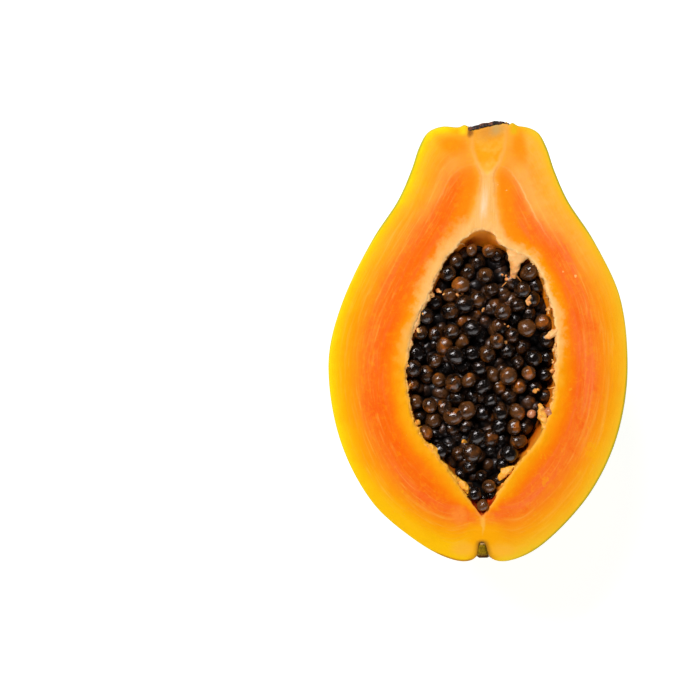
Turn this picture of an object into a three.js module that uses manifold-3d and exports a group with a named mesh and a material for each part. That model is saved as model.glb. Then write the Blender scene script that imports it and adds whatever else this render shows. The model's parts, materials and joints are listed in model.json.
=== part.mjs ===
// Half of a ripe papaya, cut lengthwise, lying on its rounded back with the cut face up.
// Millimetres, +Z up. The fruit's axis runs along Y, with the stem end at +Y and the blossom end at -Y.
import * as THREE from "three";
import { mergeVertices } from "three/addons/utils/BufferGeometryUtils.js";
import Module from "manifold-3d";

const wasm = await Module();
wasm.setup();

// Driving dimensions
const OVERALL_LENGTH = 154.2; // blossom lobes to the top of the stem crust
const FLAT_DEPTH = 1.2; // how much the back is flattened where it rests
const GAP = 0.3; // clearance between separate pieces

// Outline of the cut face on one side of the axis, from the blossom dimple to the stem face.
// Each point is [distance from the axis, height above the blossom lobes].
const OUTLINE = [
  [0, 6.4], [1.8, 5.2], [2.3, 2.4], [4, 0.7], [7.4, 0], [14.2, 1.9], [23.3, 7.5], [37.6, 21.5],
  [48.3, 42.5], [52.4, 68.5], [48.6, 91.5], [38.7, 112.5], [29.6, 126.5], [25, 137], [22.2, 145.2],
  [19.2, 150.2], [14.5, 152.2], [9.5, 152], [5, 151.6], [0, 151.4],
];
const NECK_LEAN = 1.7; // sideways lean of the neck, none at the widest station
const NECK_SPAN = [68.5, 100]; // heights between which that lean grows
const BLOSSOM_LEAN = 1.8; // sideways lean of the blossom end
const BLOSSOM_SPAN = [0, 20];
const LOBES = 5; // the five carpels show as faint ridges along the back
const RIND_LOBE = 0.012; // height of those ridges, as a share of the radius

// Seed hollow, in the same terms: from its point near the blossom end to its rounded top.
const HOLLOW = [
  [0, 15.6], [3.4, 20], [7.4, 25.7], [12.4, 32.7], [20.8, 44], [25, 54], [26.4, 66], [25.6, 77],
  [22.6, 89], [17, 99], [10.8, 107.5], [6, 112.6], [0, 114.6],
];
const HOLLOW_SHIFT = 1.3; // the hollow lies a little to the right of the axis
const HOLLOW_LOBE = 0.05; // the carpels show more in the hollow

// Seeds and the bed that they stand in
const SEED_COUNT = 128;
const SEED_RADII = [3.25, 2.75, 2.65];
const SEED_SIDES = [6, 4]; // faces round a seed and along it
const SEED_SIZE_SPREAD = 0.16; // seeds vary by this share of their size, more or less
const SEED_SPACING = 5.6; // neighbours are pushed apart until they stand this far
const SEED_STREAM = 20423; // start of the random stream
const CANDIDATES = 14; // tries for each seed, of which the loneliest place is kept
const RELAX_ROUNDS = 24;
const HEAP_DROP = 3.4; // seed centres below the cut face, in the middle of the heap
const HEAP_SPAN = [62, 128, 22]; // half axes of the dome that the heap follows
const HEAP_MIDDLE = 66; // height of the dome's crown above the blossom lobes
const HEAP_NARROW = 12; // half width of the hollow below which the heap rises and the seeds shrink
const SMALLEST_SEED = 0.7; // share of the full size
const HEAP_JITTER = 0.7; // seeds stand this much higher or lower than the dome
const WALL_ROOM = 2.2; // least distance from a seed's middle to the wall
const BED_SINK = 0.6; // the bed's surface below the seed centres

// Dry crust of the stem, seated off the axis and tilted, and the flower remnant in the dimple
const CRUST_RADIUS = 7.3;
const CRUST_THICKNESS = 1.9;
const CRUST_SHIFT = 3.7; // sideways from the axis
const CRUST_TILT = THREE.MathUtils.degToRad(9.5);
const CRUST_LEVEL = 151.9; // height of the crust's middle
const CRUST_WAVES = [[3, 0.45, 0.6], [7, 0.27, 0]]; // the rim's waves: how many, how high, and their phase
const CRUST_TAPER = 1; // the crust's underside is this much smaller in radius
const RECESS_HEIGHT = 12; // tall enough to open above the stem face
// The remnant's outline, in the same terms as the fruit's
const REMNANT = [[0, 1.6], [1.1, 1.7], [1.5, 2.6], [1.3, 4.6], [0.7, 5.5], [0, 5.7]];

// Facets of each turned surface: steps between two outline points, and segments round the axis
const RIND_FACETS = [3, 56];
const HOLLOW_FACETS = [3, 40];
const BED_FACETS = [1, 16];
const BUNCH_FACETS = [2, 24];
const REMNANT_FACETS = [2, 20];
const CRUST_SEGMENTS = 28;

// Derived places
const Y_SHIFT = -OVERALL_LENGTH / 2;
const WIDEST = Math.max(...OUTLINE.map(([radius]) => radius));
const CUT_HEIGHT = WIDEST * (1 - RIND_LOBE) - FLAT_DEPTH; // height of the cut face above the resting surface
const FAR = 400; // larger than the fruit in every direction

// A solid from any closed geometry.
function solidOf(geometry) {
  const bare = new THREE.BufferGeometry().setAttribute("position", geometry.getAttribute("position"));
  if (geometry.index) bare.setIndex(geometry.index);
  const merged = mergeVertices(bare, 1e-4);
  const corners = merged.index.array;
  const triVerts = [];
  for (let i = 0; i < corners.length; i += 3) {
    const [a, b, c] = [corners[i], corners[i + 1], corners[i + 2]];
    if (a !== b && b !== c && c !== a) triVerts.push(a, b, c);
  }
  const vertProperties = merged.attributes.position.array;
  const mesh = new wasm.Mesh({ numProp: 3, vertProperties, triVerts: new Uint32Array(triVerts) });
  return new wasm.Manifold(mesh);
}

// A geometry for three.js from a solid.
function geometryOf(solid) {
  const { vertProperties, triVerts } = solid.getMesh();
  const geometry = new THREE.BufferGeometry();
  geometry.setAttribute("position", new THREE.BufferAttribute(vertProperties, 3));
  geometry.setIndex(new THREE.BufferAttribute(triVerts, 1));
  geometry.computeVertexNormals();
  return geometry;
}

// A smooth curve through an outline's points, as a polyline with some steps between each two of them.
function smooth(outline, steps) {
  const points = outline.map(([radius, height]) => new THREE.Vector3(radius, height, 0));
  const curve = new THREE.CatmullRomCurve3(points, false, "centripetal");
  const line = curve.getPoints(steps * (points.length - 1));
  return line.map((p) => new THREE.Vector2(Math.max(p.x, 0), p.y));
}

// A turned solid whose radius swells and shrinks with the carpels. None of that shows in the cut face.
function turned(profile, segments, lobe) {
  const geometry = new THREE.LatheGeometry(profile, segments);
  const position = geometry.getAttribute("position");
  for (let i = 0; i < position.count; i++) {
    const [x, z] = [position.getX(i), position.getZ(i)];
    const swell = 1 + lobe * Math.sin(LOBES * Math.atan2(z, x));
    position.setX(i, x * swell);
    position.setZ(i, z * swell);
  }
  return geometry;
}

// Sideways lean of the axis at a height.
function lean(height) {
  const neck = THREE.MathUtils.smoothstep(height, ...NECK_SPAN);
  const blossom = 1 - THREE.MathUtils.smoothstep(height, ...BLOSSOM_SPAN);
  return NECK_LEAN * neck + BLOSSOM_LEAN * blossom;
}

function leaned(geometry) {
  const position = geometry.getAttribute("position");
  for (let i = 0; i < position.count; i++) position.setX(i, position.getX(i) + lean(position.getY(i)));
  return geometry;
}

// Everything above, or below, a level.
function slab(level, above) {
  const box = new THREE.BoxGeometry(FAR, FAR, FAR);
  return solidOf(box.translate(0, 0, level + (above ? FAR / 2 : -FAR / 2)));
}

const cutAway = slab(0, true);

// The hollow's profile, drawn in on all sides by an inset.
function hollowInset(inset, steps) {
  const profile = smooth(HOLLOW, steps);
  const [bottom, top] = [profile[0].y, profile[profile.length - 1].y];
  const middle = (top + bottom) / 2;
  const shrink = 1 - (4 * inset) / (top - bottom);
  return profile.map((p) => new THREE.Vector2(Math.max(p.x - inset, 0), middle + (p.y - middle) * shrink));
}

function hollowSolid(inset, [steps, segments]) {
  const geometry = turned(hollowInset(inset, steps), segments, HOLLOW_LOBE);
  return solidOf(geometry.translate(HOLLOW_SHIFT, 0, 0));
}

// Sets a solid of the stem end, made round the Y axis, at the stem's place and tilt.
function atStem(geometry) {
  return solidOf(geometry.rotateZ(CRUST_TILT).translate(CRUST_SHIFT, CRUST_LEVEL, 0));
}

// The stem crust: a thin disc with a wavy rim, narrower below.
function stemCrust() {
  const under = CRUST_RADIUS - CRUST_TAPER;
  const disc = new THREE.CylinderGeometry(CRUST_RADIUS, under, CRUST_THICKNESS, CRUST_SEGMENTS, 1);
  const position = disc.getAttribute("position");
  for (let i = 0; i < position.count; i++) {
    const angle = Math.atan2(position.getZ(i), position.getX(i));
    const onRim = position.getY(i) > 0 && Math.hypot(position.getX(i), position.getZ(i)) > under;
    const waves = CRUST_WAVES.map(([count, high, phase]) => high * Math.sin(count * angle + phase));
    if (onRim) position.setY(i, waves.reduce((sum, wave) => sum + wave, position.getY(i)));
  }
  return atStem(disc).subtract(cutAway);
}

// The recess that the crust sits in.
function stemRecess() {
  const radius = CRUST_RADIUS + GAP;
  const floor = -CRUST_THICKNESS / 2 - GAP;
  const bore = new THREE.CylinderGeometry(radius, radius, RECESS_HEIGHT, CRUST_SEGMENTS, 1);
  return atStem(bore.translate(0, floor + RECESS_HEIGHT / 2, 0));
}

function papayaHalf() {
  const [steps, segments] = RIND_FACETS;
  const fruit = solidOf(leaned(turned(smooth(OUTLINE, steps), segments, RIND_LOBE)));
  return fruit
    .subtract(cutAway)
    .subtract(slab(-CUT_HEIGHT, false))
    .subtract(hollowSolid(0, HOLLOW_FACETS))
    .subtract(stemRecess());
}

// A repeatable stream of numbers from 0 to 1.
function stream(start) {
  let state = start >>> 0;
  return () => {
    state = (Math.imul(state, 1664525) + 1013904223) >>> 0;
    return state / 2 ** 32;
  };
}

const hollowCurve = smooth(HOLLOW, 5);

// Half width of the hollow at a height, and none outside it.
function hollowRadius(height) {
  for (let i = 1; i < hollowCurve.length; i++) {
    const [low, high] = [hollowCurve[i - 1], hollowCurve[i]];
    if (height >= low.y && height <= high.y) {
      return low.x + ((high.x - low.x) * (height - low.y)) / (high.y - low.y);
    }
  }
  return 0;
}

// Height of the heap's surface, measured from the cut face. It rises towards the hollow's point.
function heapLevel(x, height) {
  const [a, b, c] = HEAP_SPAN;
  const dome = Math.sqrt(1 - (x / a) ** 2 - ((height - HEAP_MIDDLE) / b) ** 2);
  const nearPoint = height < HEAP_MIDDLE ? Math.min(1, hollowRadius(height) / HEAP_NARROW) : 1;
  return (c * (dome - 1) - HEAP_DROP) * nearPoint;
}

// Seeds are smaller where the hollow narrows.
function sizeAt(height) {
  return Math.max(SMALLEST_SEED, Math.min(1, hollowRadius(height) / HEAP_NARROW));
}

// How far a seed's middle may stand from the hollow's middle line at a height.
function reach(height) {
  const wall = hollowRadius(height) - WALL_ROOM * sizeAt(height);
  const room = wall ** 2 - heapLevel(0, height) ** 2;
  return wall > 0 && room > 0 ? Math.sqrt(room) : 0;
}

// Places for the seeds: each takes the loneliest of a few random places, then near ones are pushed apart.
function seedPlaces() {
  const draw = stream(SEED_STREAM);
  const [bottom, top] = [HOLLOW[0][1], HOLLOW[HOLLOW.length - 1][1]];
  const widest = Math.max(...HOLLOW.map(([radius]) => radius));
  const places = [];
  while (places.length < SEED_COUNT) {
    let best = null;
    for (let tries = 0; tries < CANDIDATES; ) {
      const height = bottom + (top - bottom) * draw();
      const x = widest * (2 * draw() - 1);
      if (Math.abs(x) >= reach(height)) continue;
      tries += 1;
      const lonely = Math.min(...places.map((p) => Math.hypot(p.x - x, p.height - height)));
      if (!best || lonely > best.lonely) best = { x, height, lonely };
    }
    places.push(best);
  }
  for (let round = 0; round < RELAX_ROUNDS; round++) {
    places.forEach((p, i) =>
      places.slice(i + 1).forEach((q) => {
        const [dx, dy] = [q.x - p.x, q.height - p.height];
        const apart = Math.hypot(dx, dy);
        if (apart >= SEED_SPACING) return;
        const push = (SEED_SPACING - apart) / 2 / apart;
        moveSeed(p, -dx * push, -dy * push);
        moveSeed(q, dx * push, dy * push);
      }),
    );
  }
  return places.map(({ x, height }) => ({
    at: [x, height, heapLevel(x, height) + HEAP_JITTER * (2 * draw() - 1)],
    size: sizeAt(height) * (1 + SEED_SIZE_SPREAD * (2 * draw() - 1)),
    turn: [draw(), draw(), draw()].map((share) => share * 2 * Math.PI),
  }));
}

// Moves a seed unless that would take it into the wall.
function moveSeed(place, dx, dy) {
  if (Math.abs(place.x + dx) >= reach(place.height + dy)) return;
  place.x += dx;
  place.height += dy;
}

function seedSolid({ at, size, turn }) {
  const seed = new THREE.SphereGeometry(1, ...SEED_SIDES);
  seed.deleteAttribute("normal");
  seed.deleteAttribute("uv");
  const [x, height, z] = at;
  seed.scale(...SEED_RADII.map((radius) => radius * size));
  seed.applyMatrix4(new THREE.Matrix4().makeRotationFromEuler(new THREE.Euler(...turn)));
  return solidOf(seed.translate(x + HOLLOW_SHIFT, height, z));
}

// The bed fills the hollow up to just below the middles of the seeds.
function seedBed() {
  const [steps, segments] = BED_FACETS;
  const bed = turned(hollowInset(2 * GAP, steps), segments, HOLLOW_LOBE);
  const position = bed.getAttribute("position");
  for (let i = 0; i < position.count; i++) {
    const surface = heapLevel(position.getX(i), position.getY(i)) - BED_SINK;
    position.setZ(i, Math.min(position.getZ(i), surface));
  }
  return solidOf(bed.translate(HOLLOW_SHIFT, 0, 0));
}

// The fused bunch, pressed flat against the wall where a seed would cross it. Its outermost body is kept, so
// any gap that the seeds close off between them is filled.
function seedBunch() {
  const fused = wasm.Manifold.union([seedBed(), ...seedPlaces().map(seedSolid)]);
  const inWall = fused.intersect(hollowSolid(GAP, BUNCH_FACETS));
  return inWall.decompose().reduce((a, b) => (a.volume() > b.volume() ? a : b));
}

function blossomScar() {
  const [steps, segments] = REMNANT_FACETS;
  const remnant = new THREE.LatheGeometry(smooth(REMNANT, steps), segments);
  return solidOf(leaned(remnant)).subtract(cutAway);
}

// A named piece with its finish, in the fruit's own frame.
function piece(name, solid, color, roughness) {
  const material = new THREE.MeshStandardMaterial({ color, roughness, metalness: 0 });
  const mesh = new THREE.Mesh(geometryOf(solid), material);
  mesh.name = name;
  return mesh;
}

const papaya = new THREE.Group();
papaya.position.set(0, Y_SHIFT, CUT_HEIGHT);
papaya.add(
  piece("papaya_half", papayaHalf(), 0xf79a1e, 0.45),
  piece("seeds", seedBunch(), 0x1d1511, 0.25),
  piece("stem_scar", stemCrust(), 0x3d2718, 0.9),
  piece("blossom_scar", blossomScar(), 0x6b5a1f, 0.85),
);

export default papaya;
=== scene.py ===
import json
import math

import bmesh
import bpy
import numpy as np
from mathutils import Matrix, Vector, noise

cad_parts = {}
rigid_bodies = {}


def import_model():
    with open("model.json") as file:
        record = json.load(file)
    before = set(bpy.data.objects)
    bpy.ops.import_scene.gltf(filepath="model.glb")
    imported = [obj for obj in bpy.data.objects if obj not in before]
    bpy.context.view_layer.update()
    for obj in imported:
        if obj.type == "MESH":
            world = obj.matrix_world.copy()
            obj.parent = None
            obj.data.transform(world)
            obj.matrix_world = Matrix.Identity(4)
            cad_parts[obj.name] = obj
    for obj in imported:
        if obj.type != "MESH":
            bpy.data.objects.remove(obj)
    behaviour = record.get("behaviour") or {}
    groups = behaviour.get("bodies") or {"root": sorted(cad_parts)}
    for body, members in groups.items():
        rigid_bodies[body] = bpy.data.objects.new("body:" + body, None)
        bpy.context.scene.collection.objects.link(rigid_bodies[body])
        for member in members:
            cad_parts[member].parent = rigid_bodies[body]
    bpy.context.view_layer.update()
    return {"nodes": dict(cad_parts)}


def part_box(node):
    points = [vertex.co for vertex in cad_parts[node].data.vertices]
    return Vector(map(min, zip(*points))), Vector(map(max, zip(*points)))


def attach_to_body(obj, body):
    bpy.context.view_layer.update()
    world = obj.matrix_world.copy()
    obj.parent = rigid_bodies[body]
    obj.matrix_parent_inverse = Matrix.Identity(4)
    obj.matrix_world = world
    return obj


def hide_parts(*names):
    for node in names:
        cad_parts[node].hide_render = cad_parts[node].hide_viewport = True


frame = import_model()
mm = 0.001
noise.seed_set(12)  # the noise starts from the clock otherwise
bodyLow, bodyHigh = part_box("papaya_half")
blossomY = bodyLow.y / mm  # heights along the fruit start at its blossom lobes
cutLevel = bodyHigh.z / mm  # the cut face above the surface that the fruit lies on
print("frame loaded:", ", ".join(sorted(frame["nodes"])))


# Small helpers: points are [x, height, z] in mm, with z measured from the cut face

def smoothStep(value, low, high):
    share = np.clip((np.asarray(value, float) - low) / (high - low), 0, 1)
    return share * share * (3 - 2 * share)


def smoothCurve(points, steps):  # centripetal curve through every point
    points = np.array(points, float)
    padded = np.vstack([2 * points[0] - points[1], points, 2 * points[-1] - points[-2]])
    made = []
    for p0, p1, p2, p3 in zip(padded, padded[1:], padded[2:], padded[3:]):
        t1, t2, t3 = np.cumsum([np.linalg.norm(q - p) ** 0.5 for p, q in ((p0, p1), (p1, p2), (p2, p3))])
        for t in np.linspace(t1, t2, steps, endpoint=False):
            a1 = p0 + (p1 - p0) * t / t1
            a2 = p1 + (p2 - p1) * (t - t1) / (t2 - t1)
            a3 = p2 + (p3 - p2) * (t - t2) / (t3 - t2)
            b1 = a1 + (a2 - a1) * t / t2
            b2 = a2 + (a3 - a2) * (t - t1) / (t3 - t1)
            made.append(b1 + (b2 - b1) * (t - t1) / (t2 - t1))
    return np.array(made + [points[-1]])


def lengths(curve):  # length run from the curve's start to each of its points
    return np.concatenate([[0], np.cumsum(np.linalg.norm(np.diff(curve, axis=0), axis=1))])


def atShares(curve, shares):
    run = lengths(curve)
    return np.stack([np.interp(shares * run[-1], run, column) for column in curve.T], axis=1)


def wobble(points, size, stream):  # smooth noise from -1 to 1, three values a point
    shift = Vector((stream * 17.3, stream * 5.1, stream * 9.7))
    return np.array([noise.noise_vector(Vector(p) / size + shift) for p in points])


def inFrame(points):  # from the fruit's own mm to the frame's metres
    return (np.asarray(points, float) + (0, blossomY, cutLevel)) * mm


def gridFaces(rows, columns, start=0):
    k = np.arange(rows * columns).reshape(rows, columns) + start
    return np.stack([k[:-1, :-1], k[1:, :-1], k[1:, 1:], k[:-1, 1:]], axis=-1).reshape(-1, 4)


def weld(points, faces):  # joins points that coincide, and tells where each went
    spots, where = np.unique(np.round(points, 4), axis=0, return_inverse=True)
    where = where.reshape(-1)
    joined = []
    for corners in where[faces]:
        kept = [c for k, c in enumerate(corners) if c != corners[k - 1]]
        joined.append(kept if len(set(kept)) > 2 else None)
    return spots, joined, where


def newObject(name, points, faces, materials, slots=None):
    mesh = bpy.data.meshes.new(name)
    mesh.from_pydata(inFrame(points).tolist(), [], [list(map(int, f)) for f in faces])
    for material in materials:
        mesh.materials.append(material)
    if slots is not None:
        mesh.polygons.foreach_set("material_index", slots)
    cage = bmesh.new()
    cage.from_mesh(mesh)
    bmesh.ops.recalc_face_normals(cage, faces=cage.faces)
    cage.to_mesh(mesh)
    cage.free()
    mesh.polygons.foreach_set("use_smooth", [True] * len(mesh.polygons))
    piece = bpy.data.objects.new(name, mesh)
    bpy.context.collection.objects.link(piece)
    return piece


def store(piece, name, values, kind="FLOAT"):
    made = piece.data.attributes.new(name, kind, "POINT")
    field = "vector" if kind == "FLOAT_VECTOR" else "value"
    made.data.foreach_set(field, np.asarray(values, float).ravel())


def attach(piece, slot, *nodes):
    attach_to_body(piece, "root")
    if nodes:
        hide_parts(*nodes)


# Node trees

def addNode(tree, kind, settings, inputs):
    made = tree.nodes.new(kind)
    for key, value in settings.items():
        if key == "stops":
            setStops(made.color_ramp, value)
        else:
            setattr(made, key, value)
    for key, value in inputs.items():
        if isinstance(value, bpy.types.NodeSocket):
            tree.links.new(value, made.inputs[key])
        else:
            made.inputs[key].default_value = value
    return made


def setStops(ramp, stops):  # stops are (place, 8-bit colour)
    while len(ramp.elements) < len(stops):
        ramp.elements.new(1.0)
    for element, (place, colour) in zip(ramp.elements, stops):
        element.position = place
        element.color = srgb(colour)


def srgb(colour):  # 8-bit picture colour to linear
    shares = [level / 255 for level in colour]
    return (*(s / 12.92 if s <= 0.04045 else ((s + 0.055) / 1.055) ** 2.4 for s in shares), 1.0)


class Wire:  # a shader socket that takes part in Python sums
    def __init__(self, tree, socket=None):
        self.tree = tree
        self.socket = socket

    def node(self, kind, settings=None, inputs=None, output=0):
        links = {k: v.socket if isinstance(v, Wire) else v for k, v in (inputs or {}).items()}
        return Wire(self.tree, addNode(self.tree, kind, settings or {}, links).outputs[output])

    def sum(self, operation, first, second=0.0):
        return self.node("ShaderNodeMath", {"operation": operation}, {0: first, 1: second})

    def __add__(self, other):
        return self.sum("ADD", self, other)

    def __sub__(self, other):
        return self.sum("SUBTRACT", self, other)

    def __rsub__(self, other):
        return self.sum("SUBTRACT", other, self)

    def __mul__(self, other):
        return self.sum("MULTIPLY", self, other)

    def __truediv__(self, other):
        return self.sum("DIVIDE", self, other)

    def __rtruediv__(self, other):
        return self.sum("DIVIDE", other, self)

    def __abs__(self):
        return self.sum("ABSOLUTE", self)

    __radd__ = __add__
    __rmul__ = __mul__


def step(value, low, high):  # 0 below low, 1 above high
    inputs = {"Value": value, "From Min": low, "From Max": high}
    return value.node("ShaderNodeMapRange", {"interpolation_type": "SMOOTHSTEP"}, inputs)


def band(value, middle, width):  # 1 at the middle, 0 a width away from it
    return 1 - step(abs(value - middle), 0.0, width)


def mix(factor, first, second, blend="MIX"):
    settings = {"data_type": "RGBA", "blend_type": blend}
    colours = [c if isinstance(c, Wire) else srgb(c) for c in (first, second)]
    return factor.node("ShaderNodeMix", settings, {0: factor, 6: colours[0], 7: colours[1]}, 2)


def grain(vector, scale, detail=2.0, rough=0.5, warp=0.0):
    inputs = {"Vector": vector, "Scale": scale, "Detail": detail, "Roughness": rough, "Distortion": warp}
    return vector.node("ShaderNodeTexNoise", {}, inputs)


def cells(vector, scale):
    return vector.node("ShaderNodeTexVoronoi", {}, {"Vector": vector, "Scale": scale})


def shade(value, stops):  # a colour ramp over a value
    return value.node("ShaderNodeValToRGB", {"stops": stops}, {0: value})


def layer(root, name):
    return root.node("ShaderNodeAttribute", {"attribute_name": name}, {}, "Fac")


def vector(root, x, y, z):
    return root.node("ShaderNodeCombineXYZ", {}, {0: x, 1: y, 2: z})


def newMaterial(name):
    material = bpy.data.materials.new(name)
    material.use_nodes = True
    material.node_tree.nodes.clear()
    root = Wire(material.node_tree)
    spot = root.node("ShaderNodeTexCoord", {}, {}, "Object")
    inMm = spot.node("ShaderNodeVectorMath", {"operation": "SCALE"}, {0: spot, "Scale": 1 / mm})
    sides = [inMm.node("ShaderNodeSeparateXYZ", {}, {0: inMm}, k) for k in range(3)]
    return material, root, inMm, sides


def finishMaterial(root, colour, roughness, relief, depth, more):
    inputs = {"Base Color": colour, "Roughness": roughness, **more}
    if relief:
        inputs["Normal"] = root.node("ShaderNodeBump", {}, {"Height": relief, "Distance": depth * mm})
    shader = root.node("ShaderNodeBsdfPrincipled", {}, inputs)
    addNode(root.tree, "ShaderNodeOutputMaterial", {}, {0: shader.socket})


# Rind: green towards the stem, gold towards the blossom end, waxy

rindLook = {
    "deepGreen": (42, 84, 6),
    "green": (82, 124, 10),
    "olive": (152, 152, 10),
    "gold": (230, 188, 4),
    "speck": (46, 74, 10),
    "roughness": 0.42,
    "coat": 0.1,
}


def rindColour(root, spot, x, height):
    patch = grain(spot, 0.024, 3.0, 0.55) - 0.5
    cloud = grain(spot, 0.085, 4.0, 0.6) - 0.5
    green = (height - 78.0) / 125.0 + x / 190.0 + patch * 1.5 + cloud * 0.5
    colour = mix(step(green, -0.42, -0.02), rindLook["gold"], rindLook["olive"])
    colour = mix(step(green, -0.06, 0.3), colour, rindLook["green"])
    return mix(step(green, 0.3, 0.85), colour, rindLook["deepGreen"])


def rindMaterial():
    material, root, spot, (x, y, z) = newMaterial("waxyRind")
    height = y - blossomY
    colour = rindColour(root, spot, x, height)
    lengthwise = vector(root, x * 0.9, y * 0.12, z * 0.9)
    lines = grain(lengthwise, 0.5, 3.0, 0.6)
    colour = mix(step(lines, 0.52, 0.72) * 0.22, colour, rindLook["olive"])
    specks = 1 - step(cells(spot, 0.42), 0.05, 0.16)
    freckles = step(grain(spot, 0.05, 2.0), 0.46, 0.62)
    colour = mix(specks * freckles * 0.75, colour, rindLook["speck"])
    mottle = grain(spot, 0.7, 4.0, 0.65)
    colour = mix(step(mottle, 0.3, 0.75) * 0.22, colour, (250, 240, 120), "SOFT_LIGHT")
    stemward = (x - 3.7) * (x - 3.7) + (z - cutLevel) * (z - cutLevel)
    scar = (1 - step(stemward + (mottle - 0.5) * 60.0, 58.0, 100.0)) * step(height, 148.0, 149.5)
    colour = mix(scar, colour, (176, 132, 76))
    colour = mix(scar * (1 - step(stemward, 48.0, 62.0)), colour, (62, 38, 26))
    fromAxis = (x - 1.8) * (x - 1.8) + (z - cutLevel) * (z - cutLevel)
    dimple = (1 - step(fromAxis, 5.0, 18.0)) * (1 - step(height, 8.0, 10.0))
    colour = mix(dimple * 0.85, colour, (128, 100, 26))
    relief = lines * 0.6 + mottle * 0.4 - specks * 0.3
    rough = rindLook["roughness"] + (mottle - 0.5) * 0.16
    coat = {"Coat Weight": rindLook["coat"], "Coat Roughness": 0.22, "Specular IOR Level": 0.25}
    finishMaterial(root, colour, rough, relief, 0.22, coat)
    return material


# Flesh: bands that follow the rind, a pale lining at the hollow and pale strands under the stem

fleshLook = {
    "leftBands": [
        (0.0, (250, 218, 8)), (0.08, (251, 192, 0)), (0.17, (251, 168, 0)), (0.26, (251, 152, 2)),
        (0.36, (250, 136, 18)), (0.46, (249, 116, 22)), (0.57, (248, 106, 10)), (0.68, (249, 104, 0)),
        (0.77, (251, 120, 0)), (0.87, (251, 146, 0)), (1.0, (251, 168, 20)),
    ],
    "rightBands": [
        (0.0, (242, 192, 40)), (0.08, (249, 178, 30)), (0.17, (251, 162, 14)), (0.26, (251, 148, 14)),
        (0.36, (251, 135, 20)), (0.46, (251, 124, 30)), (0.57, (250, 116, 34)), (0.68, (249, 110, 24)),
        (0.77, (251, 120, 0)), (0.87, (251, 144, 0)), (1.0, (250, 168, 14)),
    ],
    "blush": (247, 88, 10),
    "coral": (252, 112, 56),
    "streak": (255, 196, 92),
    "arch": (253, 178, 88),
    "topPatch": (252, 140, 0),
    "upperLining": (251, 186, 112),
    "lowerLining": (252, 170, 8),
    "besideCore": (254, 136, 4),
    "coreSide": (253, 168, 52),
    "strands": (246, 182, 104),
    "whiteStreak": (250, 220, 186),
    "darkLine": (214, 132, 62),
    "wedge": (250, 158, 8),
    "underCrust": (222, 146, 56),
    "underCrustGrey": (184, 158, 106),
    # wall ramps: the peach lining at the rim is the flesh's own colour; the darkening deeper in the hollow
    # is painted shade
    "upperWallAndDepthShade": [
        (0.0, (255, 200, 130)), (0.1, (252, 160, 60)), (0.45, (255, 134, 14)), (1.0, (140, 54, 6)),
    ],
    "lowerWallAndDepthShade": [
        (0.0, (254, 184, 70)), (0.2, (240, 140, 34)), (0.5, (190, 84, 10)), (1.0, (60, 20, 4)),
    ],
    "roughness": 0.46,
}


def blob(root, x, height, middle, size):  # a soft patch on the cut face
    dx = (x - middle[0]) / size[0]
    dy = (height - middle[1]) / size[1]
    return 1 - step(root.sum("SQRT", dx * dx + dy * dy), 0.25, 1.0)


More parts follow.
